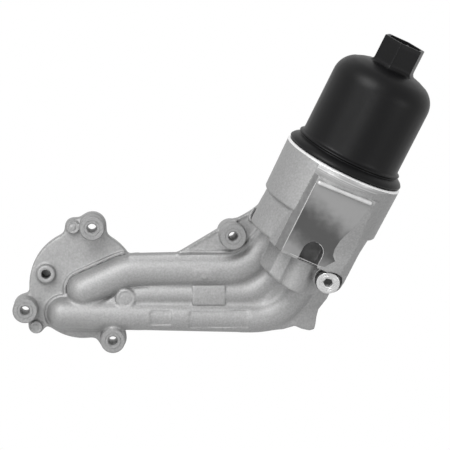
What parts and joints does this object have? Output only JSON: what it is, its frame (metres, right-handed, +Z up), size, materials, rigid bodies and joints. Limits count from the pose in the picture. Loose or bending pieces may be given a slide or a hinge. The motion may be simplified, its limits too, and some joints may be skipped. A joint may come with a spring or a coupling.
{
  "type": "oil filter bracket",
  "caption": "Cast bracket that bolts to an engine by a round flange and holds a tilted oil filter bowl with a black screwed cap, a paper element and its valves.",
  "frame": {"origin": "centre of the round flange on the mounting face", "axes": "+X along the passages towards the filter bowl, +Z up, +Y into the engine; the casting stands out of the mounting face towards -Y"},
  "size_m": [0.2847, 0.0938, 0.2219],
  "materials": {
    "cast_aluminium": "die-cast, shot-blasted, satin",
    "turned_aluminium": "turned, satin",
    "cap_nylon": "moulded glass-filled nylon, satin",
    "seal_rubber": "moulded nitrile rubber",
    "valve_plastic": "moulded, satin",
    "element_plastic": "moulded, satin",
    "filter_paper": "resin-treated pleated paper",
    "spring_steel": "drawn wire",
    "plated_steel": "zinc-plated, satin bright"
  },
  "bodies": {
    "housing": {"housing_casting": "cast_aluminium", "inlet_port_seal": "seal_rubber", "outlet_port_seal": "seal_rubber", "return_port_seal": "seal_rubber", "standpipe": "turned_aluminium", "check_valve_seat": "turned_aluminium", "check_valve_spring": "spring_steel", "check_valve_cage": "valve_plastic"},
    "check_valve": {"check_valve_disc": "valve_plastic"},
    "filter_element": {"filter_pleats": "filter_paper", "filter_top_disc": "element_plastic", "filter_bottom_disc": "element_plastic", "filter_core": "element_plastic", "filter_bottom_seal": "seal_rubber"},
    "cap": {"filter_cap": "cap_nylon", "cap_seal": "seal_rubber", "bypass_cage": "valve_plastic", "bypass_spring": "spring_steel"},
    "bypass_valve": {"bypass_poppet": "valve_plastic"},
    "plug_ring": {"plug_seal": "seal_rubber"},
    "plug": {"screw_plug": "plated_steel"}
  },
  "joints": [
    {"name": "cap_lift", "type": "slide", "parent": "housing", "child": "filter_element", "axis": [0.4237, -0.1564, 0.8922], "range_m": [0, 0.0121]},
    {"name": "cap_turn", "type": "hinge", "parent": "filter_element", "child": "cap", "pos_m": [0.1802, -0.05, 0.0873], "axis": [0.4237, -0.1564, 0.8922], "range_deg": [0, 1080]},
    {"name": "bypass_lift", "type": "slide", "parent": "cap", "child": "bypass_valve", "axis": [-0.4237, 0.1564, -0.8922], "range_m": [0, 0.0035], "stiffness_N_per_m": 1500, "deforming": ["bypass_spring"]},
    {"name": "check_lift", "type": "slide", "parent": "housing", "child": "check_valve", "axis": [0.4237, -0.1564, 0.8922], "range_m": [0, 0.0025], "stiffness_N_per_m": 150, "deforming": ["check_valve_spring"]},
    {"name": "plug_draw", "type": "slide", "parent": "housing", "child": "plug_ring", "axis": [-0.1537, -0.9336, -0.3237], "range_m": [0, 0.0076]},
    {"name": "plug_turn", "type": "hinge", "parent": "plug_ring", "child": "plug", "pos_m": [0.16739, -0.06773, 0.00857], "axis": [-0.1537, -0.9336, -0.3237], "range_deg": [0, 1800]}
  ],
  "couplings": [
    {"joint": "cap_lift", "follows": "cap_turn", "m_per_rad": 0.00063662},
    {"joint": "plug_draw", "follows": "plug_turn", "m_per_rad": 0.00023873}
  ]
}
